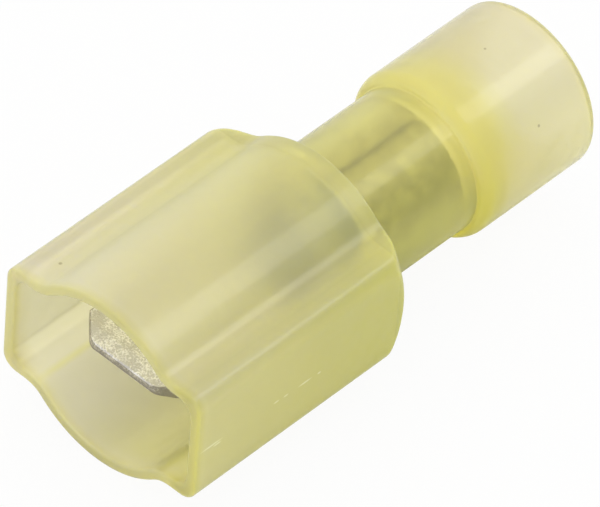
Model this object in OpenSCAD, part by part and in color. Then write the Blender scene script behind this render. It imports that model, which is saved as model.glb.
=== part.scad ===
// Male spade terminal in a translucent moulded housing, lying on the floor.
// X runs from the mouth of the shroud to the wire end, Y across the tab, Z up. Sizes in mm.

/* [Shroud] */
// Width of the shroud over both ears
shroud_w = 11.7; // [10.5:0.1:14]
// Length from the mouth to the back of the shroud
shroud_l = 13.55; // [13:0.05:17]
// Height of the flat ears
ear_h = 6.25; // [5:0.05:6.5]
// Radius along the edges of the ears
ear_edge_r = 0.8; // [0.7:0.05:1.5]
// Height over both bulges
bulge_h = 9.55; // [9.2:0.05:10]
// Radius of each bulge
bulge_r = 5.2; // [5.1:0.05:5.4]
// Radius of the flat disc at the back of the shroud
back_flat_r = 4.45; // [4.2:0.05:4.6]
// Rounding from that disc out over the ears
back_round_r = 2.25; // [2.25:0.05:3]
// Radius in the groove between an ear and a bulge
groove_r = 0.35; // [0.2:0.05:0.6]
// Wall of the shroud
shroud_wall = 0.55; // [0.4:0.05:0.65]
// Thickness of the wall that closes the back of the shroud
back_wall = 1.2; // [0.8:0.1:1.8]

/* [Neck and bell] */
// Outer diameter of the neck
neck_d = 7.4; // [6.8:0.05:8]
// Length of the neck between shroud and bell
neck_l = 6.5; // [6:0.1:8.5]
// Outer diameter of the bell
bell_d = 8.45; // [8.2:0.05:9.5]
// Length of the bell
bell_l = 7.25; // [5:0.05:10]
// Wall of the bell
bell_wall = 0.7; // [0.5:0.05:0.9]
// Rounding of the shoulder where the bell begins
shoulder_r = 0.7; // [0.6:0.05:0.9]
// Rounding of the rim at the wire end
rim_r = 0.2; // [0.1:0.05:0.3]
// Length of the cone that leads the strands into the barrel
funnel_l = 1.7; // [1:0.1:2.5]
// Thickness of the lip behind the barrel
lip_l = 0.4; // [0.2:0.1:0.8]

/* [Tab] */
// Width of the tab
tab_w = 6.35; // [6.2:0.05:6.4]
// Thickness of the tab and of the barrel wall
tab_t = 0.8; // [0.7:0.05:0.85]
// How far the tip stands back from the mouth
tip_setback = 1.4; // [0.5:0.1:3]
// Width of the straight front edge of the tip
tip_w = 4; // [3:0.1:5]
// Thickness left at the tip after bevelling
tip_t = 0.45; // [0.3:0.05:0.6]
// Length of the bevels at the tip
bevel_l = 0.7; // [0.4:0.1:1.2]
// Length over which the tab narrows to the ramp
narrow_l = 0.9; // [0.8:0.1:1.5]

/* [Barrel] */
// Inner diameter of the barrel
barrel_bore_d = 3.6; // [3.2:0.1:3.7]
// Length of the barrel
barrel_l = 7.8; // [6:0.1:8]
// How far the barrel reaches into the shroud
barrel_reach = 0.4; // [0.3:0.1:1]
// Length of the slanted cut at the front of the barrel
slant_l = 0.6; // [0.4:0.1:1]
// Open width of the seam along the top of the barrel
seam_gap = 0.16; // [0.06:0.02:0.3]
// Slope of the ramp from the tab down to the barrel
ramp_angle = 58; // [50:1:62]
// Radius of the two bends of the ramp, at half thickness
bend_r = 1; // [0.8:0.05:1.1]
// Chamfer inside the barrel at the wire end
lead_in_l = 0.3; // [0.1:0.05:0.4]

/* [Fit] */
// Clearance round the barrel in the neck
barrel_clearance = 0.04; // [0.02:0.01:0.1]
// Clearance round the barrel bore where the lip begins
lip_clearance = 0.35; // [0.3:0.01:0.4]

/* [Hidden] */
$fn = 96;
// Overlap that joins touching solids and lets cuts break through
lap = 0.1;
// How far a groove arc dips into the faces beside it
groove_dip = 0.01;
// How far the ramp runs below the inside of the barrel
ramp_sink = 0.03;
// How much narrower than the barrel the ramp starts, on each side
ramp_inset = 0.2;
// Flats that make up one bend of the ramp
bend_steps = 10;
// Overall length and the height of the axis over the floor
total_l = shroud_l + neck_l + bell_l;
axis_z = bulge_h / 2;
// Offset of a bulge's centre beyond the axis
bulge_drop = bulge_r - bulge_h / 2;
// Centre of the groove arc and the direction to it from a bulge's centre
groove_z = ear_h / 2 + groove_r;
groove_y = sqrt(pow(bulge_r + groove_r, 2) - pow(groove_z + bulge_drop, 2));
groove_dir = [groove_y, groove_z + bulge_drop] / (bulge_r + groove_r);
// Inside of the housing
cavity_l = shroud_l - back_wall;
bell_x = shroud_l + neck_l;
bell_r = bell_d / 2;
// Barrel of the terminal, with the lip of the housing behind it
barrel_r = barrel_bore_d / 2 + tab_t;
barrel_x = cavity_l - barrel_reach;
barrel_end = barrel_x + barrel_l;
bore_r = barrel_r + barrel_clearance;
lip_r = barrel_bore_d / 2 + lip_clearance;
// Ramp, measured along the middle of the sheet
ramp_drop = barrel_bore_d / 2 + tab_t / 2 + ramp_sink;
bends_drop = 2 * bend_r * (1 - cos(ramp_angle));
straight_l = (ramp_drop - bends_drop) / sin(ramp_angle);
ramp_l = 2 * bend_r * sin(ramp_angle) + straight_l * cos(ramp_angle);
ramp_end = barrel_x - slant_l;
ramp_x = ramp_end - ramp_l;
ramp_half_w = barrel_r - ramp_inset;

// Lays a drawing in Y and Z and gives it a length along X
module along_x(from, length) {
    translate([from, 0, 0]) rotate([90, 0, 90]) linear_extrude(length) children();
}

// Lays a drawing in X and Z and gives it a width across Y
module across_y(width) {
    translate([0, width / 2, 0]) rotate([90, 0, 0]) linear_extrude(width) children();
}

// Turns a drawing of radius and length round the X axis
module round_x() {
    rotate([0, 90, 0]) rotate_extrude() children();
}

// Rectangle with four round corners
module round_rect(w, h, r) {
    square([w - 2 * r, h], center = true);
    square([w, h - 2 * r], center = true);
    for (sy = [-1, 1], sz = [-1, 1])
        translate([sy * (w / 2 - r), sz * (h / 2 - r)]) circle(r);
}

// Fills the corner between an ear and a bulge up to the arc of the groove
module groove_fill(inset) {
    flat_z = ear_h / 2 - inset;
    bulge_side = [0, -bulge_drop] + (bulge_r - inset) * groove_dir;
    difference() {
        polygon([
            [groove_y, flat_z],
            [groove_y, groove_z],
            bulge_side,
            [bulge_side[0] - lap, flat_z - lap]
        ]);
        translate([groove_y, groove_z]) circle(groove_r + inset + groove_dip);
    }
}

// The four groove fills of the section
module groove_fills(inset) {
    for (my = [0, 1], mz = [0, 1])
        mirror([my, 0]) mirror([0, mz]) groove_fill(inset);
}

// Section of the shroud: flat ears, two bulges and the grooves between them
module section(inset) {
    round_rect(shroud_w - 2 * inset, ear_h - 2 * inset, ear_edge_r - inset);
    groove_fills(inset);
    for (mz = [0, 1])
        mirror([0, mz]) intersection() {
            translate([0, -bulge_drop]) circle(bulge_r - inset);
            translate([-bulge_r, 0]) square([2 * bulge_r, bulge_r]);
        }
}

// Outside of the shroud, turned round at the back
module shroud() {
    intersection() {
        along_x(0, shroud_l) section(0);
        round_x() {
            square([back_flat_r, shroud_l]);
            square([back_flat_r + back_round_r, shroud_l - back_round_r]);
            translate([back_flat_r, shroud_l - back_round_r]) circle(back_round_r);
        }
    }
}

// Outside of the neck and the bell
module neck_and_bell() {
    round_x() {
        translate([0, cavity_l + lap]) square([neck_d / 2, neck_l + back_wall]);
        translate([0, bell_x]) {
            translate([0, shoulder_r]) square([bell_r, bell_l - shoulder_r - rim_r]);
            square([bell_r - shoulder_r, bell_l]);
            translate([0, shoulder_r]) square([bell_r - rim_r, bell_l - shoulder_r]);
            translate([bell_r - shoulder_r, shoulder_r]) circle(shoulder_r);
            translate([bell_r - rim_r, bell_l - rim_r]) circle(rim_r);
        }
    }
}

// Round way through from the cavity to the wire end
module wire_way() {
    bell_bore_r = bell_r - bell_wall;
    funnel_x = barrel_end + lip_l;
    round_x() {
        translate([0, cavity_l - lap]) square([bore_r, barrel_end - cavity_l + lap]);
        polygon([
            [0, barrel_end - lap],
            [lip_r, barrel_end - lap],
            [lip_r, funnel_x],
            [bell_bore_r, funnel_x + funnel_l],
            [bell_bore_r, total_l + lap],
            [0, total_l + lap]
        ]);
    }
}

// Moulded housing: shroud, neck and bell in one piece
module insulating_housing() {
    color([0.85, 0.8, 0.5]) translate([-total_l / 2, 0, axis_z]) difference() {
        union() {
            shroud();
            neck_and_bell();
        }
        along_x(-lap, cavity_l + lap) section(shroud_wall);
        wire_way();
    }
}

// Point on one side of the sheet, at right angles to its slope
function sheet_side(at, slope, side) = at + side * tab_t / 2 * [sin(slope), cos(slope)];

// Ramp drawn as sheet seen from the side: end of the tab, two bends, floor of the barrel
module ramp_side() {
    turns = [for (i = [0:bend_steps]) ramp_angle * i / bend_steps];
    turns_back = [for (i = [0:bend_steps]) turns[bend_steps - i]];
    slopes = concat([0], turns, turns_back, [0]);
    middle = concat(
        [[ramp_x - narrow_l / 2, 0]],
        [for (a = turns) [ramp_x + bend_r * sin(a), bend_r * (cos(a) - 1)]],
        [for (a = turns_back) [ramp_end - bend_r * sin(a), bend_r * (1 - cos(a)) - ramp_drop]],
        [[barrel_x, -ramp_drop]]
    );
    last = len(middle) - 1;
    polygon(concat(
        [for (i = [0:last]) sheet_side(middle[i], slopes[i], 1)],
        [for (i = [0:last]) sheet_side(middle[last - i], slopes[last - i], -1)]
    ));
}

// Flat tab with its bevelled, cut-off tip
module tab() {
    corner_l = (tab_w - tip_w) / 2;
    intersection() {
        translate([0, 0, -tab_t]) linear_extrude(2 * tab_t) polygon([
            [tip_setback, -tip_w / 2],
            [tip_setback + corner_l, -tab_w / 2],
            [ramp_x - narrow_l, -tab_w / 2],
            [ramp_x, -ramp_half_w],
            [ramp_x, ramp_half_w],
            [ramp_x - narrow_l, tab_w / 2],
            [tip_setback + corner_l, tab_w / 2],
            [tip_setback, tip_w / 2]
        ]);
        across_y(2 * tab_w) polygon([
            [tip_setback, -tip_t / 2],
            [tip_setback + bevel_l, -tab_t / 2],
            [ramp_x, -tab_t / 2],
            [ramp_x, tab_t / 2],
            [tip_setback + bevel_l, tab_t / 2],
            [tip_setback, tip_t / 2]
        ]);
    }
}

// Ramp from the tab down to the bottom of the barrel, no wider than the barrel is round
module ramp() {
    intersection() {
        across_y(2 * ramp_half_w) ramp_side();
        translate([ramp_x - narrow_l, 0, 0]) round_x() square([barrel_r, ramp_l + narrow_l + slant_l]);
    }
}

// Rolled barrel with its seam along the top and its front cut to a slant
module barrel() {
    difference() {
        round_x() translate([0, barrel_x - slant_l]) square([barrel_r, barrel_l + slant_l]);
        round_x() {
            translate([0, barrel_x - slant_l - lap])
                square([barrel_bore_d / 2, barrel_l + slant_l + 2 * lap]);
            polygon([
                [0, barrel_end - lead_in_l],
                [barrel_bore_d / 2, barrel_end - lead_in_l],
                [barrel_bore_d / 2 + lead_in_l, barrel_end],
                [barrel_bore_d / 2 + lead_in_l, barrel_end + lap],
                [0, barrel_end + lap]
            ]);
        }
        across_y(4 * barrel_r) polygon([
            [barrel_x - slant_l - lap, -barrel_r - lap],
            [barrel_x - slant_l, -barrel_r],
            [barrel_x, barrel_r],
            [barrel_x, barrel_r + lap],
            [barrel_x - slant_l - lap, barrel_r + lap]
        ]);
        translate([barrel_x - slant_l - lap, -seam_gap / 2, 0])
            cube([barrel_l + slant_l + 2 * lap, seam_gap, barrel_r + lap]);
    }
}

// Stamped terminal: tab, ramp and barrel in one piece
module tab_terminal() {
    color([0.75, 0.74, 0.72]) translate([-total_l / 2, 0, axis_z]) {
        tab();
        ramp();
        barrel();
    }
}

insulating_housing();
tab_terminal();
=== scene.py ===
import math

import bpy
import numpy as np
from mathutils import Matrix, Vector


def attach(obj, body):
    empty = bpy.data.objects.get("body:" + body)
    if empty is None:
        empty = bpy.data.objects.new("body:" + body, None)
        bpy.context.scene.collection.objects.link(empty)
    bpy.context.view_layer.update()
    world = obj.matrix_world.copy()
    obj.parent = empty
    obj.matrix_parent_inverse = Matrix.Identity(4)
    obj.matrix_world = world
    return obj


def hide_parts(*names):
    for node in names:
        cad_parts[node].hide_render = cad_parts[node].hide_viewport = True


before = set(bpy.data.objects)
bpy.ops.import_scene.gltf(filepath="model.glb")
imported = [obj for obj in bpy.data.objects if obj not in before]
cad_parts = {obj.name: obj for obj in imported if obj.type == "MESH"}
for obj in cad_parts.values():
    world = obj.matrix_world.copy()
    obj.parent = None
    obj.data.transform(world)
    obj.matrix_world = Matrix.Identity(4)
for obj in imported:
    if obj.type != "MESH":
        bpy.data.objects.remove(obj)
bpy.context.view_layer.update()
mm = 0.001

# x runs along the part from the mouth, y across the tab, z up from the axis
place = {"length": 27.3, "axisHeight": 4.775}


def toScene(points):
    # millimetres from the middle of the mouth to metres in the row frame
    return (points + np.array([-place["length"] / 2, 0.0, place["axisHeight"]])) * mm


def meshFrom(name, points, faces, smooth=True):
    # vertices and quads in one go
    mesh = bpy.data.meshes.new(name)
    mesh.from_pydata(points.tolist(), [], faces.tolist())
    mesh.update()
    mesh.polygons.foreach_set("use_smooth", np.full(len(mesh.polygons), smooth))
    piece = bpy.data.objects.new(name, mesh)
    bpy.context.scene.collection.objects.link(piece)
    return piece


def gridFaces(rows, columns, closeRows, closeColumns):
    # quads between neighbouring rows and columns, wrapping round where asked
    i = np.arange(rows if closeRows else rows - 1)[:, None]
    j = np.arange(columns if closeColumns else columns - 1)[None, :]
    a = i * columns + j
    b = i * columns + (j + 1) % columns
    c = ((i + 1) % rows) * columns + (j + 1) % columns
    d = ((i + 1) % rows) * columns + j
    return np.stack([a, b, c, d], -1).reshape(-1, 4)


# shape of the housing in mm
housing = {
    "shroudLength": 13.55, "width": 11.7, "earHeight": 6.25, "earEdge": 0.8, "earEdgeInside": 0.75,
    "bulgeRadius": 5.2, "bulgeDrop": 0.425, "groove": 0.55, "grooveInside": 0.75,
    "backFlat": 4.45, "backRound": 2.25, "backSoftness": 0.1,
    "wall": 0.55, "backWall": 0.8, "mouthEdge": 0.15, "cornerInside": 0.1,
    "neckRadius": 3.7, "neckFillet": 0.22, "bellAt": 20.05, "bellEnd": 27.3,
    "bellRadius": 4.225, "bellWall": 0.7, "shoulder": 0.7, "shoulderFoot": 0.12, "rimEdge": 0.2, "rimInner": 0.15,
    "boreRadius": 2.64, "tightRadius": 2.585, "seatAt": 19.75,
    "lipRadius": 2.15, "lipLength": 0.4, "funnelLength": 1.7, "smallEdge": 0.05,
    "around": 416, "samples": 4001, "bendWeight": 0.35,
}


def roundBoxReach(c, s, halfWidth, halfHeight, edge):
    # distance from the axis to a round-cornered rectangle along the direction (c, s)
    c, s = np.maximum(np.abs(c), 1e-9), np.maximum(np.abs(s), 1e-9)
    side, top = halfWidth / c, halfHeight / s
    cy, cz = halfWidth - edge, halfHeight - edge
    across = c * cz - s * cy
    corner = c * cy + s * cz + np.sqrt(np.maximum(edge ** 2 - across ** 2, 0.0))
    return np.where(side * s <= cz, side, np.where(top * c <= cy, top, corner))


def bulgeReach(c, s, radius, drop):
    # distance from the axis to an arc whose centre lies drop beyond the axis
    return -drop * np.abs(s) + np.sqrt(radius ** 2 - (drop * c) ** 2)


def softMax(a, b, softness):
    # larger of two, with the crease between them filled by a short parabola
    h = np.maximum(softness - np.abs(a - b), 0.0) / softness
    return np.maximum(a, b) + h * h * softness / 4


def softMin(a, b, softness):
    # smaller of two, with the ridge between them rounded in the same way
    return -softMax(-a, -b, softness)


def earsAndBulge(angle, inset):
    # reaches of the flat ears and of the two bulges, both pulled in by inset
    h = housing
    c, s = np.cos(angle), np.sin(angle)
    edge = np.maximum(h["earEdge"] - inset, h["earEdgeInside"])
    ears = roundBoxReach(c, s, h["width"] / 2 - inset, h["earHeight"] / 2 - inset, edge)
    return ears, bulgeReach(c, s, h["bulgeRadius"] - inset, h["bulgeDrop"])


def shroudReach(angle, inset):
    # section of the shroud: the larger of ears and bulge, with a groove that softens from skin to inner wall
    h = housing
    ears, bulge = earsAndBulge(angle, inset)
    return softMax(ears, bulge, h["groove"] + (h["grooveInside"] - h["groove"]) * inset / h["wall"])


def backReach(x):
    # radius of the turned back: an arc that falls from the ears to the flat disc
    h = housing
    run = np.clip(x - h["shroudLength"] + h["backRound"], 0, h["backRound"])
    return h["backFlat"] + np.sqrt(h["backRound"] ** 2 - run ** 2)


def evenAngles(count):
    # angles that lie evenly along the section, closer where it bends, the same in each quarter
    t = np.linspace(0, math.pi / 2, housing["samples"])
    r = shroudReach(t, 0.0)
    y, z = r * np.cos(t), r * np.sin(t)
    run = np.hypot(np.diff(y), np.diff(z))
    bend = np.abs(np.diff(np.unwrap(np.arctan2(np.diff(z), np.diff(y)))))
    run[1:] += housing["bendWeight"] * bend
    total = np.concatenate([[0.0], np.cumsum(run)])
    quarter = np.interp(np.linspace(0, total[-1], count // 4 + 1), total, t)
    half = np.concatenate([quarter, math.pi - quarter[::-1][1:]])
    return np.concatenate([half, math.pi + half[1:-1]])


def quarterTurn(count, skipFirst=True):
    # even steps from 0 to 90 degrees
    steps = np.linspace(0, math.pi / 2, count)
    return steps[1:] if skipFirst else steps


def housingStations():
    # closed path round the wall's section
    # columns: x, inset, radius, how round (0 shroud, 1 circle), how far inside, how much painted shade (thick)
    h = housing
    rows = []

    def add(x, inset=0.0, radius=1.0, roundness=0.0, inside=0.0, thick=0.0):
        columns = np.broadcast_arrays(*(np.atleast_1d(v) for v in (x, inset, radius, roundness, inside, thick)))
        rows.append(np.stack(columns, 1).astype(float))

    wall, e, small = h["wall"], h["mouthEdge"], h["smallEdge"]
    back, neck, f = h["shroudLength"], h["neckRadius"], h["neckFillet"]
    a = quarterTurn(7, False)
    add(e - e * np.sin(a), wall - e + e * np.cos(a), inside=np.cos(a))  # inner edge of the mouth
    add(e - e * np.cos(a), e - e * np.sin(a))  # outer edge of the mouth
    add(np.linspace(e, back - h["backRound"], 30)[1:])  # outside of the shroud
    add(back - h["backRound"] + h["backRound"] * np.sin(quarterTurn(34)))  # rounded back
    add(back, 0.0, np.linspace(h["backFlat"], neck + f, 6)[1:], 1.0)  # back face
    b = quarterTurn(7)
    add(back + f - f * np.cos(b), 0.0, neck + f - f * np.sin(b), 1.0)  # foot of the neck
    bell, r, k, g = h["bellAt"], h["bellRadius"], h["shoulder"], h["shoulderFoot"]
    rise = math.asin((neck + g - r + k) / k)  # where the foot meets the shoulder's arc
    riseAt = bell + k - k * math.cos(rise)
    add(np.linspace(back + f, riseAt - g, 14)[1:], 0.0, neck, 1.0)  # neck
    add(riseAt - g + g * np.sin(b), 0.0, neck + g - g * np.cos(b), 1.0)
    s = np.linspace(rise, math.pi / 2, 12)[1:]
    add(bell + k - k * np.cos(s), 0.0, r - k + k * np.sin(s), 1.0)  # shoulder
    end, q, p = h["bellEnd"], h["rimEdge"], h["rimInner"]
    add(np.linspace(bell + k, end - q, 14)[1:], 0.0, r, 1.0)  # outside of the bell
    add(end - q + q * np.sin(b), 0.0, r - q + q * np.cos(b), 1.0)  # rim
    inner = r - h["bellWall"]
    add(end - p + p * np.cos(a), 0.0, inner + p - p * np.sin(a), 1.0, np.sin(a))
    seat, lip, bore = h["seatAt"], h["lipRadius"], h["boreRadius"]
    funnel = seat + h["lipLength"]
    add(np.linspace(end - p, funnel + h["funnelLength"], 10)[1:], 0.0, inner, 1.0, 1.0)  # bell bore
    ease = np.linspace(0, 1, 14)[1:]
    add(funnel + (1 - ease) * h["funnelLength"], 0.0, lip + (inner - lip) * (1 - ease), 1.0, 1.0)  # funnel
    add([seat + small, seat], 0.0, [lip, lip + small], 1.0, 1.0)  # lip
    add([seat, seat - small], 0.0, [bore - small, bore], 1.0, 1.0)  # seat of the barrel
    floor = back - h["backWall"]
    tight = h["tightRadius"]
    add(np.linspace(seat - 2 * small, back, 9), 0.0, bore, 1.0, 1.0)  # bore of the neck
    add(np.linspace(back - small, floor + 3 * small, 3), 0.0, tight, 1.0, 1.0)  # tight bore of the back wall
    b = quarterTurn(5, False)
    add(floor + 2 * small * (1 - np.sin(b)), 0.0, tight + 2 * small * (1 - np.cos(b)), 1.0, 1.0)
    m = h["cornerInside"]
    out = np.linspace(0, 1, 12)[1:]
    # the back wall's inner face and its corner get painted shade in the thick column, darkest towards the outer
    # edge
    add(floor, wall + m, tight + 2 * small, 1 - out, 1.0, out ** 2)  # inner face of the back wall
    b = quarterTurn(7)
    add(floor - m + m * np.cos(b), wall + m - m * np.sin(b), inside=1.0, thick=1 - np.sin(b))  # its rounded corner
    add(np.linspace(floor - m, e, 26)[1:-1], wall, inside=1.0)  # inside of the shroud
    return np.concatenate(rows)


# where the nylon's tint changes, most of it painted shade and painted light: places and reaches in mm, strengths
# from 0 to 1
zones = {
    "mouthReach": 1.2, "hazeFrom": 4.0, "hazeReach": 0.8, "farFrom": 5.2, "farReach": 0.4,
    "earFrom": 3.9, "earReach": 0.8, "flankFrom": 5.4, "flankReach": 0.4, "deepTop": 0.6, "deepFront": 0.8,
    "edgeFrom": 8.2, "edgeReach": 0.25, "paintedEdgeHighlight": 0.35,
    "floorTo": 2.0, "floorReach": 3.5, "ridgeWide": 0.26, "ridgeDeep": 1.0, "ridgeShade": 0.06,
    "lowerSide": (0.84, 0.54), "neckFrom": 0.4, "neckDeep": 1.2, "neckShade": 0.3,
    "shoulderTo": 21.65, "shoulderReach": 0.8, "bellFrom": 0.2, "liftFrom": 21.0, "liftReach": 1.5,
    "earShade": 0.12, "bulgeShade": 0.17, "bulgeTo": 2.8, "bulgeReach": 3.0, "sideReach": 2.0,
    "patchReach": 2.2, "patchCurve": 1.5, "patchFrom": 0.5, "patchWide": 2.5, "patchTo": 3.5, "patchEdge": 0.3,
    "patchBelow": 1.0,
}


def rising(value, start, reach):
    # 0 up to start, then straight up to 1 over reach
    return np.clip((value - start) / reach, 0, 1)


def falling(value, end, reach):
    # 1, then straight down over reach to 0 at end
    return np.clip((end - value) / reach, 0, 1)


def housingMarks(x, y, z, inside, thick, crease):
    # each mark is a product of rises and falls along x, across y or round the axis
    h, k = housing, zones
    back, floor = h["shroudLength"], h["shroudLength"] - h["backWall"]
    inside = inside * rising(x, 0, k["mouthReach"]) + 0 * y
    skin = 1 - inside
    ears = skin * (x <= back)
    haze = rising(np.abs(y), k["hazeFrom"], k["hazeReach"]) * ears * (1 - rising(y, k["farFrom"], k["farReach"]))
    # deeper tint, painted shade: darker and yellower on the near ear and flank only, with a painted highlight
    # along the round of its edge
    nearEar = rising(-y, k["earFrom"], k["earReach"]) * ears
    flank = rising(-y, k["flankFrom"], k["flankReach"])
    along = k["deepFront"] + (1 - k["deepFront"]) * x / back
    deepAndShade = nearEar * (k["deepTop"] + (along - k["deepTop"]) * flank)
    deepAndShade = deepAndShade * (1 - k["paintedEdgeHighlight"] * rising(np.abs(y) + np.abs(z), k["edgeFrom"], k["edgeReach"]))
    # deeper tint inside: painted shade on the near half of the mouth, and the thicker nylon of the grooves' ridges
    deepAndShade = deepAndShade + falling(y, k["floorTo"], k["floorReach"]) * inside * (x < floor)
    ridge = falling(np.abs(crease), k["ridgeWide"], k["ridgeWide"]) * inside * (x < floor - h["cornerInside"])
    deepAndShade = deepAndShade + k["ridgeDeep"] * ridge
    # lower sides: painted shade deepens the neck's underside, painted light lifts the bell's underside paler
    lower = k["lowerSide"][0] * np.abs(y) - k["lowerSide"][1] * z
    under = rising(lower / h["neckRadius"], k["neckFrom"], 1 - k["neckFrom"]) * skin * (x > back)
    deepAndShade = deepAndShade + k["neckDeep"] * under * falling(x, k["shoulderTo"], k["shoulderReach"])
    lift = rising(lower / h["bellRadius"], k["bellFrom"], 1 - k["bellFrom"]) * skin
    lift = lift * rising(x, k["liftFrom"], k["liftReach"])
    # painted shade, darker: near ear, near side of the upper bulge, neck's underside, ridges and a patch in front
    # of the back wall
    side = k["earShade"] * nearEar * (1 - flank)
    side = side + k["bulgeShade"] * falling(y, k["bulgeTo"], k["bulgeReach"]) * (1 - nearEar) * ears * (z > 0)
    side = side * falling(x, floor, k["sideReach"])
    # the patch is painted shade on the back wall's face and on the inner skin in front of it, on the near upper
    # side
    window = falling(y, k["patchFrom"], k["patchWide"]) * rising(y, -k["patchTo"], k["patchEdge"])
    patch = rising(x, floor - k["patchReach"], k["patchReach"]) * (x <= floor) * inside
    wallFaceShade = thick * rising(z, -k["patchBelow"], k["patchBelow"])
    paintedShade = np.maximum(wallFaceShade, patch ** k["patchCurve"]) * window
    paintedShade = paintedShade + k["neckShade"] * under * (x < h["bellAt"]) + side + k["ridgeShade"] * ridge
    # the painted shade goes out as the mark named thick
    return {"inside": inside, "haze": haze, "deepAndShade": deepAndShade, "lift": lift, "thick": paintedShade}


def housingSurface():
    # grid of stations and angles: section cut by the turned back, blended with the station's circle
    h = housing
    stations = housingStations()
    angle = evenAngles(h["around"])[None, :]
    x, inset, radius, roundness, inside, thick = (stations[:, i:i + 1] for i in range(6))
    section = shroudReach(angle, inset)
    cut = softMin(section, backReach(x) + 0 * angle, h["backSoftness"])
    outside = (inset < h["wall"] / 2) & (x > h["shroudLength"] - h["backRound"])
    section = np.where(outside, cut, section)
    reach = section + (radius - section) * roundness
    y, z = reach * np.cos(angle), reach * np.sin(angle)
    ears, bulge = earsAndBulge(angle, inset)
    return np.stack([x + 0 * angle, y, z], -1), housingMarks(x, y, z, inside, thick, ears - bulge)


def makeHousing():
    # stations and angles as one closed grid of quads, with the marks as attributes
    points, marks = housingSurface()
    rows, columns = points.shape[:2]
    faces = gridFaces(rows, columns, True, True)
    piece = meshFrom("nylonHousing", toScene(points.reshape(-1, 3)), faces)
    for name, values in marks.items():
        mark = piece.data.attributes.new(name, "FLOAT", "POINT")
        mark.data.foreach_set("value", values.reshape(-1).astype(np.float32))
    print("housing", rows, "by", columns, "triangles", 2 * len(faces))
    return piece


terminal = {
    "tipAt": 1.4, "tipWidth": 4.0, "width": 6.35, "thick": 0.8, "tipThick": 0.45, "bevel": 0.7,
    "narrow": 0.9, "rampAngle": 58.0, "bendRadius": 1.0, "rampHalfWidth": 2.4,
    "boreRadius": 1.8, "barrelAt": 11.95, "barrelEnd": 19.75, "slant": 0.6, "seam": 0.06,
    "leadIn": 0.3, "edge": 0.09, "barrelEdge": 0.34, "seamBare": 0.15, "cornerRound": 0.9, "frontRound": 0.07,
    "footHalfWidth": 1.9, "ringFrom": 0.12, "curlFrom": 0.4, "curlPast": 0.1, "edgeGrow": 1.0,
    "across": 96, "edgeSteps": 8, "rowGap": 0.05,
}


def rampPath():
    # middle line of the sheet: flat, bend down, slope, bend flat on the barrel's floor
    t = terminal
    turn = math.radians(t["rampAngle"])
    drop = t["boreRadius"] + t["thick"] / 2
    bend = t["bendRadius"]
    slope = (drop - 2 * bend * (1 - math.cos(turn))) / math.sin(turn)
    end = t["barrelAt"] - t["slant"]
    start = end - 2 * bend * math.sin(turn) - slope * math.cos(turn)
    a = np.linspace(0, turn, 12)
    x = np.concatenate([start + bend * np.sin(a), end - bend * np.sin(a[::-1])])
    z = np.concatenate([-bend * (1 - np.cos(a)), -drop + bend * (1 - np.cos(a[::-1]))])
    return x, z, start, drop


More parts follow.
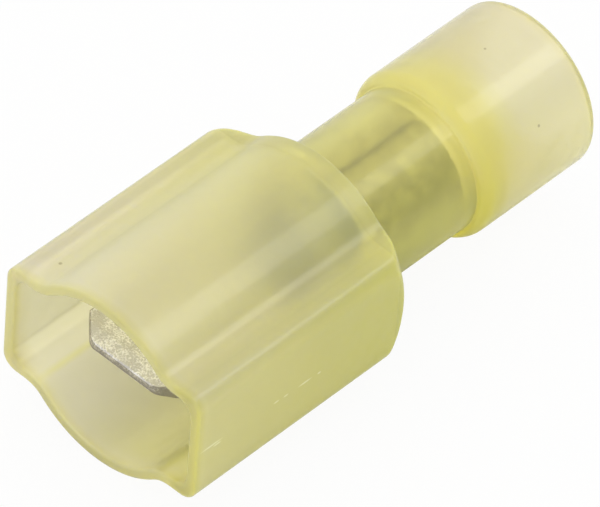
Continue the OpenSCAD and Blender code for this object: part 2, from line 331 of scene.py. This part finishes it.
def terminalSurface():
    # sheet carried along x: a half width and a curl that grows from flat to a full circle
    t = terminal
    rampX, rampZ, rampStart, drop = rampPath()
    corner = (t["width"] - t["tipWidth"]) / 2
    mid = t["boreRadius"] + t["thick"] / 2
    outer = t["boreRadius"] + t["thick"]
    tip, end = t["tipAt"], t["barrelEnd"]
    cut = t["barrelAt"] - t["slant"]
    lift = np.linspace(t["ringFrom"], 1.0, 60) * math.pi  # angle up from the floor of the barrel
    slantX = cut + t["slant"] * (1 - np.cos(lift) * mid / outer) / 2
    gap, roundEnd, narrowAt = t["rowGap"], 0.5 * t["cornerRound"], rampStart - t["narrow"]
    x = np.concatenate([
        tip + t["frontRound"] * np.linspace(0, 1, 6) ** 2,
        tip + roundEnd * np.linspace(0.1, 1, 16) ** 2,
        np.linspace(tip + roundEnd + gap, tip + corner, 8),
        np.linspace(tip + corner + gap, narrowAt, 14),
        np.linspace(narrowAt + 2 * gap, rampStart, 8), rampX, slantX,
        np.linspace(t["barrelAt"] + gap, end - t["leadIn"], 14),
        np.linspace(end - t["leadIn"] + gap, end, 6)])
    x = np.unique(np.round(x, 5))
    z = np.interp(x, rampX, rampZ, left=0.0, right=-drop)
    widths = [t["tipWidth"] / 2, t["width"] / 2, t["width"] / 2, t["rampHalfWidth"], t["footHalfWidth"]]
    flat = np.interp(x, [tip, tip + corner, narrowAt, rampStart, cut], widths)
    # rounded corner between the front and the slanted side: an arc that meets both
    arc, meet = t["cornerRound"], t["cornerRound"] * math.tan(math.pi / 8)
    fromTip = np.clip(x - tip, 0, arc)
    rounded = t["tipWidth"] / 2 - meet + np.sqrt(arc ** 2 - (arc - fromTip) ** 2)
    flat = np.where(x - tip < meet * math.sqrt(0.5), np.minimum(rounded, flat), flat)
    full = math.pi * mid - t["seam"] / 2
    curled = np.interp(x, slantX, lift * mid, left=0.0, right=full)
    half = np.minimum(np.maximum(flat, curled), full)
    curl = np.interp(x, [rampStart + t["curlFrom"], cut + t["curlPast"]], [0.0, 1.0])
    curl = curl * curl * (3 - 2 * curl) / mid  # smooth start and end of the curl
    thick = np.interp(x, [tip, tip + t["bevel"]], [t["tipThick"], t["thick"]]) / 2
    soft = t["frontRound"]
    thick = thick - soft + np.sqrt(soft ** 2 - np.clip(soft - (x - tip), 0, soft) ** 2)
    slopeZ = np.gradient(z, x)
    # loop round the sheet: over the top, round one edge, back under, round the other
    n, m = t["across"], t["edgeSteps"]
    e = np.interp(x, [cut, t["barrelAt"] + t["edgeGrow"]], [t["edge"], t["barrelEdge"]])
    q = np.linspace(-1, 1, n)
    a = np.linspace(0, math.pi, m + 2)[1:-1]
    q = np.concatenate([q, np.ones(m), q[::-1], -np.ones(m)])
    side = np.concatenate([np.ones(n), np.cos(a), -np.ones(n), -np.cos(a)])
    bulge = np.concatenate([np.zeros(n), np.sin(a), np.zeros(n), np.sin(a)])
    onEdge = np.concatenate([np.zeros(n), np.ones(m), np.zeros(n), np.ones(m)])
    s = q[None, :] * (half - e)[:, None] + np.sign(q) * bulge * e[:, None]
    k = np.maximum(curl, 1e-6)[:, None]
    phi = s * k
    rest = np.minimum(thick, e)[:, None]
    rounded = (thick[:, None] - rest) * np.sign(side) + rest * side
    offset = np.where(onEdge > 0, rounded, thick[:, None] * side)
    lead = np.clip((x - end + t["leadIn"]) / t["leadIn"], 0, 1)[:, None]
    offset = np.where(offset > 0, offset * (1 - lead * 2 * t["leadIn"] / t["thick"]), offset)
    tilt = 1 / np.sqrt(1 + slopeZ ** 2)[:, None]
    px = x[:, None] - offset * slopeZ[:, None] * tilt * np.cos(phi)
    py = np.sin(phi) / k - offset * np.sin(phi)
    pz = z[:, None] + (1 - np.cos(phi)) / k + offset * np.cos(phi) * tilt
    bare = np.interp(x, [cut, t["barrelAt"]], [1.0, t["seamBare"]])[:, None]
    sheared = np.maximum(onEdge[None, :] * bare, (np.arange(len(x)) == 0)[:, None])
    return np.stack([px, py, pz], -1), sheared


def makeTerminal():
    # the sheet's loops as a tube of quads, closed by quads at the tip and at the barrel's end
    points, sheared = terminalSurface()
    rows, columns = points.shape[:2]
    n, m = terminal["across"], terminal["edgeSteps"]
    i = np.arange(n - 1)
    under = n + m + (n - 1 - i)
    cap = [np.stack([i, i + 1, under - 1, under], 1)]
    for ring in (np.arange(n - 1, n + m + 1), np.append(np.arange(2 * n + m - 1, columns), 0)):
        j = np.arange(len(ring) // 2 - 1)  # the round of each cut edge
        cap.append(np.stack([ring[j], ring[j + 1], ring[-2 - j], ring[-1 - j]], 1))
    cap = np.concatenate(cap)
    faces = [gridFaces(rows, columns, False, True)[:, ::-1], cap, (cap + (rows - 1) * columns)[:, ::-1]]
    piece = meshFrom("tinnedTerminal", toScene(points.reshape(-1, 3)), np.concatenate(faces))
    mark = piece.data.attributes.new("sheared", "FLOAT", "POINT")  # 1 on cut edges and the tip's face
    mark.data.foreach_set("value", sheared.reshape(-1).astype(np.float32))
    print("terminal", rows, "by", columns)
    return piece


def newMaterial(name):
    # an empty node tree
    material = bpy.data.materials.new(name)
    material.use_nodes = True
    nodes = material.node_tree.nodes
    nodes.clear()
    return material, nodes, material.node_tree.links


def feed(tree, socket, value):
    # a socket is linked, a plain value is set
    if isinstance(value, bpy.types.NodeSocket):
        tree.links.new(value, socket)
    else:
        socket.default_value = value


def mathNode(tree, operation, *values, clamp=False):
    # a sum, a product, a product plus a third value, or the larger of two
    node = tree.nodes.new("ShaderNodeMath")
    node.operation = operation
    node.use_clamp = clamp
    for socket, value in zip(node.inputs, values):
        feed(tree, socket, value)
    return node.outputs[0]


def rangeNode(tree, value, start, end):
    # straight line from the start pair to the end pair, held at both ends
    node = tree.nodes.new("ShaderNodeMapRange")
    feed(tree, node.inputs["Value"], value)
    for name, limit in zip(("From Min", "From Max", "To Min", "To Max"), (*start, *end)):
        node.inputs[name].default_value = limit
    return node.outputs["Result"]


def mixNode(tree, share, a, b):
    # a plus share times the step from a to b
    node = tree.nodes.new("ShaderNodeMix")
    for name, value in (("Factor", share), ("A", a), ("B", b)):
        feed(tree, node.inputs[name], value)
    return node.outputs["Result"]


def tintNode(tree, share, a, b, blend="MIX"):
    # the same for colours, or a times b in that share
    node = tree.nodes.new("ShaderNodeMix")
    node.data_type = "RGBA"
    node.blend_type = blend
    for name, value in (("Factor", share), ("A", a), ("B", b)):
        feed(tree, node.inputs[name], value)
    return node.outputs["Result"]


def noiseNode(tree, where, scale, detail):
    # cloudy pattern, scale in cells per metre
    node = tree.nodes.new("ShaderNodeTexNoise")
    node.inputs["Scale"].default_value = scale
    node.inputs["Detail"].default_value = detail
    tree.links.new(where, node.inputs["Vector"])
    return node.outputs["Fac"]


def markNode(tree, name):
    # a mark written on the mesh
    node = tree.nodes.new("ShaderNodeAttribute")
    node.attribute_name = name
    return node.outputs["Fac"]


def bumpNode(tree, height, depth, normal=None):
    # relief of the given depth in metres, on top of another where there is one
    node = tree.nodes.new("ShaderNodeBump")
    node.inputs["Distance"].default_value = depth
    tree.links.new(height, node.inputs["Height"])
    if normal:
        tree.links.new(normal, node.inputs["Normal"])
    return node.outputs["Normal"]


def spotNode(tree, where, centre, halves):
    # 1 inside half of an ellipsoid, falling to 0 at its skin
    apart = tree.nodes.new("ShaderNodeVectorMath")
    apart.operation = "SUBTRACT"
    apart.inputs[1].default_value = toScene(np.array(centre)).tolist()
    tree.links.new(where, apart.inputs[0])
    scaled = tree.nodes.new("ShaderNodeVectorMath")
    scaled.operation = "MULTIPLY"
    scaled.inputs[1].default_value = [1 / (half * mm) for half in halves]
    tree.links.new(apart.outputs["Vector"], scaled.inputs[0])
    far = tree.nodes.new("ShaderNodeVectorMath")
    far.operation = "LENGTH"
    tree.links.new(scaled.outputs["Vector"], far.inputs[0])
    return rangeNode(tree, far.outputs["Value"], (0.5, 1.0), (1.0, 0.0))


# along: mm from the mouth, tint and clear share of the skin there
nylon = {
    "along": [
        (0.0, (0.88, 0.835, 0.56), 0.42), (0.5, (0.95, 0.91, 0.77), 0.70),
        (6.0, (0.945, 0.905, 0.69), 0.71), (12.58, (0.905, 0.875, 0.54), 0.62),
        (12.68, (0.84, 0.815, 0.50), 0.46), (13.5, (0.83, 0.805, 0.49), 0.50),
        (13.9, (0.91, 0.885, 0.46), 0.92), (19.7, (0.91, 0.885, 0.46), 0.92),
        (20.3, (0.885, 0.845, 0.42), 0.50), (21.6, (0.86, 0.825, 0.43), 0.65),
        (23.2, (0.825, 0.78, 0.56), 0.65), (26.6, (0.815, 0.77, 0.59), 0.62),
        (27.3, (0.85, 0.80, 0.56), 0.35)],
    "clearInside": 0.85, "insideTint": (0.97, 0.95, 0.90, 1.0), "insidePale": 0.6,
    # the deeper tint paints shade except on the grooves' ridges, the wall tint and its haze paint shade, the lift
    # tint paints light on the bell's lower sides
    "earHaze": 0.5, "hazeTint": (0.82, 0.825, 0.86, 1.0), "deepAndShadeTint": (1.0, 1.0, 0.62, 1.0),
    "paintedLightTint": (0.94, 0.88, 0.57, 1.0),
    "paintedShadeHaze": 0.8, "paintedShadeTint": (0.12, 0.18, 0.05, 1.0),
    "passing": (0.90, 0.87, 0.66, 1.0), "milkTint": 0.75, "milkReach": (0.0015, 0.0014, 0.0005),
    "clearRoughness": (0.3, 0.4), "milkRoughness": (0.3, 0.4), "leavingRoughness": 0.3,
    "bodyIor": 1.5, "skinIor": 1.5, "skinRoughness": 0.05, "skinWeight": 0.55,
    "absorb": (0.995, 0.97, 0.42, 1.0), "density": 350.0,
    "cloudSize": 260.0, "cloudDetail": 3.0, "cloudDepth": 0.25,
    "satinSize": 5200.0, "satinDetail": 4.0, "satinDepth": 0.000004,
    "waveSize": 800.0, "waveDetail": 1.0, "waveDepth": 0.00005,
    "specks": [((1.65, 4.2, 3.125), 0.11), ((23.97, -3.63, 2.16), 0.09), ((24.14, 0.0, 4.22), 0.08)],
    "speckTint": (0.62, 0.58, 0.48, 1.0),
    "scratches": [((0.95, -5.85, -0.05), 0.8), ((1.3, -5.85, -0.2), 0.3), ((5.0, -5.85, -0.25), 0.22),
                  ((5.6, -5.85, -0.28), 0.18), ((6.8, -5.85, -0.31), 0.5), ((7.7, -5.85, -0.35), 0.14)],
    "scratchHalf": 0.07, "scratchMilk": 0.14, "scratchTint": (0.90, 0.88, 0.69, 1.0),
}


def nylonMaterial():
    # clear lobe mixed with a deeper milky lobe; a ramp along x gives the tint and the clear share
    material, nodes, links = newMaterial("yellowNylon")
    tree = material.node_tree
    where = nodes.new("ShaderNodeTexCoord").outputs["Object"]
    axes = nodes.new("ShaderNodeSeparateXYZ")
    links.new(where, axes.inputs["Vector"])
    half = place["length"] / 2 * mm
    along = nodes.new("ShaderNodeValToRGB")
    stops = along.color_ramp.elements
    for x, _, _ in nylon["along"][1:-1]:
        stops.new(x / place["length"])
    for stop, (x, tint, clearThere) in zip(stops, nylon["along"]):
        stop.position = x / place["length"]
        stop.color = (*tint, clearThere)
    links.new(rangeNode(tree, axes.outputs["X"], (-half, half), (0.0, 1.0)), along.inputs["Fac"])
    names = ("inside", "haze", "deepAndShade", "thick", "lift")
    inside, haze, deepAndShade, thick, lift = (markNode(tree, name) for name in names)
    # tint: ramp, deeper in clouds, paler inside, painted light on the bell's lower sides, then multiplied by the
    # ears' haze tint and by the painted shade on the marked faces
    cloud = noiseNode(tree, where, nylon["cloudSize"], nylon["cloudDetail"])
    cloud = mathNode(tree, "MULTIPLY", cloud, nylon["cloudDepth"])
    tint = tintNode(tree, cloud, along.outputs["Color"], along.outputs["Color"], "MULTIPLY")
    tint = tintNode(tree, mathNode(tree, "MULTIPLY", inside, nylon["insidePale"]), tint, nylon["insideTint"])
    tint = tintNode(tree, lift, tint, nylon["paintedLightTint"])
    for mark, name in ((haze, "hazeTint"), (deepAndShade, "deepAndShadeTint"), (thick, "paintedShadeTint")):
        tint = tintNode(tree, mark, tint, nylon[name], "MULTIPLY")
    for centre, radius in nylon["specks"]:
        speck = spotNode(tree, where, centre, (radius, radius, radius))
        tint = tintNode(tree, speck, tint, nylon["speckTint"], "MULTIPLY")
    # clear share: ramp, more inside, less on the ears, on the faces with painted shade and on the scratches
    clearShare = mixNode(tree, inside, along.outputs["Alpha"], nylon["clearInside"])
    for mark, name in ((haze, "earHaze"), (thick, "paintedShadeHaze")):
        clearShare = mathNode(tree, "MULTIPLY_ADD", mark, -nylon[name], clearShare)
    for centre, length in nylon["scratches"]:
        line = spotNode(tree, where, centre, (length, nylon["scratchHalf"], nylon["scratchHalf"]))
        tint = tintNode(tree, line, tint, nylon["scratchTint"])
        clearShare = mathNode(tree, "MULTIPLY_ADD", line, -nylon["scratchMilk"], clearShare, clamp=True)
    facing = nodes.new("ShaderNodeNewGeometry").outputs["Backfacing"]
    clearShare = mathNode(tree, "MAXIMUM", facing, clearShare)  # light already in the wall leaves it clear
    satin = noiseNode(tree, where, nylon["satinSize"], nylon["satinDetail"])
    wave = noiseNode(tree, where, nylon["waveSize"], nylon["waveDetail"])
    relief = bumpNode(tree, satin, nylon["satinDepth"], bumpNode(tree, wave, nylon["waveDepth"]))
    clear = nodes.new("ShaderNodeBsdfPrincipled")
    milk = nodes.new("ShaderNodeBsdfPrincipled")
    for body, limits in ((clear, nylon["clearRoughness"]), (milk, nylon["milkRoughness"])):
        rough = rangeNode(tree, satin, (0.0, 1.0), limits)
        links.new(mixNode(tree, facing, rough, nylon["leavingRoughness"]), body.inputs["Roughness"])
        links.new(relief, body.inputs["Normal"])
        body.inputs["IOR"].default_value = nylon["bodyIor"]
        body.inputs["Coat Weight"].default_value = nylon["skinWeight"]
        body.inputs["Coat IOR"].default_value = nylon["skinIor"]
        body.inputs["Coat Roughness"].default_value = nylon["skinRoughness"]
    links.new(tint, clear.inputs["Base Color"])
    links.new(tintNode(tree, nylon["milkTint"], tint, tint, "MULTIPLY"), milk.inputs["Base Color"])
    clear.inputs["Transmission Weight"].default_value = 1.0
    milk.inputs["Subsurface Weight"].default_value = 1.0
    milk.inputs["Subsurface Radius"].default_value = nylon["milkReach"]
    milk.inputs["Subsurface Scale"].default_value = 1.0
    mix = nodes.new("ShaderNodeMixShader")
    links.new(clearShare, mix.inputs["Fac"])
    links.new(milk.outputs["BSDF"], mix.inputs[1])
    links.new(clear.outputs["BSDF"], mix.inputs[2])
    through = nodes.new("ShaderNodeBsdfTransparent")
    through.inputs["Color"].default_value = nylon["passing"]
    whole = nodes.new("ShaderNodeMixShader")  # lamplight passes the walls, tinted
    links.new(nodes.new("ShaderNodeLightPath").outputs["Is Shadow Ray"], whole.inputs["Fac"])
    links.new(mix.outputs["Shader"], whole.inputs[1])
    links.new(through.outputs["BSDF"], whole.inputs[2])
    absorb = nodes.new("ShaderNodeVolumeAbsorption")
    absorb.inputs["Color"].default_value = nylon["absorb"]
    absorb.inputs["Density"].default_value = nylon["density"]
    out = nodes.new("ShaderNodeOutputMaterial")
    links.new(whole.outputs["Shader"], out.inputs["Surface"])
    links.new(absorb.outputs["Volume"], out.inputs["Volume"])
    return material


tin = {
    "bright": (1.0, 0.98, 1.0, 1.0), "dull": (0.66, 0.635, 0.64, 1.0),
    "shearedHigh": (0.68, 0.63, 0.55, 1.0), "shearedLow": (0.36, 0.33, 0.28, 1.0),
    "shearedStep": (-0.12, 0.02),
    "roughness": (0.36, 0.56), "grainSize": 11000.0, "grainDetail": 3.0, "grainRange": (0.46, 0.68),
    "clusterSize": 1500.0, "clusterDetail": 2.0, "clusterDepth": 0.7, "bumpDepth": 0.00009,
    "dullFrom": 11.0, "dullTo": 13.0, "dullAndShadeTint": (0.78, 0.79, 0.76, 1.0),
}


def tinMaterial():
    # fine grain in clusters breaks colour, gloss and relief; sheared edges are duller and two-toned
    material, nodes, links = newMaterial("tinnedBrass")
    tree = material.node_tree
    where = nodes.new("ShaderNodeTexCoord").outputs["Object"]
    axes = nodes.new("ShaderNodeSeparateXYZ")
    links.new(where, axes.inputs["Vector"])
    grain = noiseNode(tree, where, tin["grainSize"], tin["grainDetail"])
    cluster = noiseNode(tree, where, tin["clusterSize"], tin["clusterDetail"])
    depth = tin["clusterDepth"] / 2
    lift = rangeNode(tree, cluster, (0.0, 1.0), (-depth, depth))
    sparkle = rangeNode(tree, mathNode(tree, "ADD", grain, lift), tin["grainRange"], (0.0, 1.0))
    tone = tintNode(tree, sparkle, tin["dull"], tin["bright"])
    # cut edge: torn below, burnished and mottled above
    step = [(place["axisHeight"] + height) * mm for height in tin["shearedStep"]]
    burnished = mathNode(tree, "MULTIPLY", rangeNode(tree, axes.outputs["Z"], step, (0.0, 1.0)), sparkle)
    cutTone = tintNode(tree, burnished, tin["shearedLow"], tin["shearedHigh"])
    tone = tintNode(tree, markNode(tree, "sheared"), tone, cutTone)
    # the rolled barrel is duller than the tab, and painted shade darkens it further where it sits inside the nylon
    reach = [(tin[name] - place["length"] / 2) * mm for name in ("dullFrom", "dullTo")]
    barrel = rangeNode(tree, axes.outputs["X"], reach, (0.0, 1.0))
    tone = tintNode(tree, barrel, tone, tin["dullAndShadeTint"], "MULTIPLY")
    metal = nodes.new("ShaderNodeBsdfPrincipled")
    metal.inputs["Metallic"].default_value = 1.0
    links.new(tone, metal.inputs["Base Color"])
    links.new(rangeNode(tree, grain, (0.0, 1.0), tin["roughness"]), metal.inputs["Roughness"])
    links.new(bumpNode(tree, grain, tin["bumpDepth"]), metal.inputs["Normal"])
    out = nodes.new("ShaderNodeOutputMaterial")
    links.new(metal.outputs["BSDF"], out.inputs["Surface"])
    return material


studio = {
    "floorSize": 3.0, "floorColour": (0.88, 0.88, 0.88, 1.0), "whiteShare": 0.93, "glimpseShare": 0.42,
    "brightSide": (0.0, 0.9, 0.45), "worldReach": (-0.6, 0.5),
    "dimSide": (0.64, 0.70, 0.615, 1.0), "litSide": (1.10, 1.085, 1.08, 1.0),
}


def makeFloor():
    # flat square under the part, white to the camera except where the shadow falls
    half = studio["floorSize"] / 2
    corners = np.array([[-half, -half, 0], [half, -half, 0], [half, half, 0], [-half, half, 0]])
    floor = meshFrom("floor", corners, np.array([[0, 1, 2, 3]]), smooth=False)
    material, nodes, links = newMaterial("paleFloor")
    tree = material.node_tree
    out = nodes.new("ShaderNodeOutputMaterial")
    matte = nodes.new("ShaderNodeBsdfDiffuse")
    matte.inputs["Color"].default_value = studio["floorColour"]
    glow = nodes.new("ShaderNodeEmission")
    path = nodes.new("ShaderNodeLightPath")
    seen = mathNode(tree, "MULTIPLY", path.outputs["Is Camera Ray"], studio["whiteShare"])
    glimpsed = mathNode(tree, "MULTIPLY", path.outputs["Is Transmission Ray"], studio["glimpseShare"])
    mix = nodes.new("ShaderNodeMixShader")
    links.new(mathNode(tree, "MAXIMUM", seen, glimpsed), mix.inputs["Fac"])
    links.new(matte.outputs["BSDF"], mix.inputs[1])
    links.new(glow.outputs["Emission"], mix.inputs[2])
    links.new(mix.outputs["Shader"], out.inputs["Surface"])
    floor.data.materials.append(material)


def makeWorld():
    # pale surround that is brighter towards one side, white to the camera
    world = bpy.data.worlds.new("studioWorld")
    bpy.context.scene.world = world
    world.use_nodes = True
    tree = world.node_tree
    nodes, links = tree.nodes, tree.links
    nodes.clear()
    out = nodes.new("ShaderNodeOutputWorld")
    soft = nodes.new("ShaderNodeBackground")
    where = nodes.new("ShaderNodeTexCoord")
    lean = nodes.new("ShaderNodeVectorMath")
    lean.operation = "DOT_PRODUCT"
    lean.inputs[1].default_value = studio["brightSide"]
    links.new(where.outputs["Generated"], lean.inputs[0])
    share = rangeNode(tree, lean.outputs["Value"], studio["worldReach"], (0.0, 1.0))
    links.new(tintNode(tree, share, studio["dimSide"], studio["litSide"]), soft.inputs["Color"])
    white = nodes.new("ShaderNodeBackground")
    white.inputs["Color"].default_value = (1, 1, 1, 1)
    path = nodes.new("ShaderNodeLightPath")
    mix = nodes.new("ShaderNodeMixShader")
    links.new(path.outputs["Is Camera Ray"], mix.inputs["Fac"])
    links.new(soft.outputs["Background"], mix.inputs[1])
    links.new(white.outputs["Background"], mix.inputs[2])
    links.new(mix.outputs["Shader"], out.inputs["Surface"])


# each box: direction from the part, distance, width and height in metres, and its brightness
lamps = {
    "keyBox": {"towards": (0.5355, -0.321, 0.7815), "away": 0.35, "size": (0.12, 0.30), "bright": 1.5},
}


def makeLamp(name, towards, away, size, bright):
    # soft box facing the part; its power is brightness times area times pi
    data = bpy.data.lights.new(name, "AREA")
    data.shape = "RECTANGLE"
    data.size, data.size_y = size
    data.energy = bright * math.pi * size[0] * size[1]
    lamp = bpy.data.objects.new(name, data)
    out = Vector(towards).normalized()
    lamp.location = out * away + Vector((0, 0, place["axisHeight"] * mm))
    across = Vector((1, 0, 0)).cross(out).normalized()  # width runs round the part's axis
    along = out.cross(across)
    turn = Matrix((across, along, out)).transposed()
    lamp.rotation_mode = "QUATERNION"
    lamp.rotation_quaternion = turn.to_quaternion()
    bpy.context.scene.collection.objects.link(lamp)


camera = {
    "azimuth": -46.4157, "elevation": 42.3265, "partRoll": 4.6866,
    "pixelsPerMm": 23.0993, "perspective": 0.00259552, "mouthPixel": (99.5648, 383.6421),
    "frame": (600, 507), "sensor": 36.0, "clip": (0.01, 20.0),
}


def makeCamera():
    # view fitted to the outline: its directions, then the place that puts the mouth on its pixel
    c = camera
    a, e, r = (math.radians(c[k]) for k in ("azimuth", "elevation", "partRoll"))
    back = np.array([math.sin(a) * math.cos(e), -math.cos(a) * math.cos(e), math.sin(e)])
    right = np.array([math.cos(a), math.sin(a), 0.0])
    up = np.cross(right, -back)
    roll = np.array([[1, 0, 0], [0, math.cos(r), math.sin(r)], [0, -math.sin(r), math.cos(r)]])
    right, up, back = roll @ right, roll @ up, roll @ back
    distance = 1 / c["perspective"]
    tx = (c["mouthPixel"][0] - c["frame"][0] / 2) / c["pixelsPerMm"]
    ty = (c["mouthPixel"][1] - c["frame"][1] / 2) / c["pixelsPerMm"]
    spot = toScene(-right * tx + up * ty + back * distance)
    data = bpy.data.cameras.new("photoView")
    data.sensor_width = c["sensor"]
    data.lens = c["sensor"] * c["pixelsPerMm"] * distance / c["frame"][0]
    data.clip_start, data.clip_end = c["clip"]
    view = bpy.data.objects.new("photoView", data)
    view.matrix_world = Matrix(np.column_stack([right, up, back]).tolist()).to_4x4()
    view.location = spot.tolist()
    bpy.context.scene.collection.objects.link(view)
    bpy.context.scene.camera = view


makeCamera()
print("camera at azimuth", camera["azimuth"], "elevation", camera["elevation"])
shell = makeHousing()
shell.data.materials.append(nylonMaterial())
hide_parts("insulating_housing")
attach(shell, "root")
blade = makeTerminal()
blade.data.materials.append(tinMaterial())
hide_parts("tab_terminal")
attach(blade, "root")
print("pieces ride on root")
makeFloor()
makeWorld()
for lampName, lampFacts in lamps.items():
    makeLamp(lampName, **lampFacts)
print("studio with", len(lamps), "lamp")
bpy.context.scene.view_settings.view_transform = "Standard"
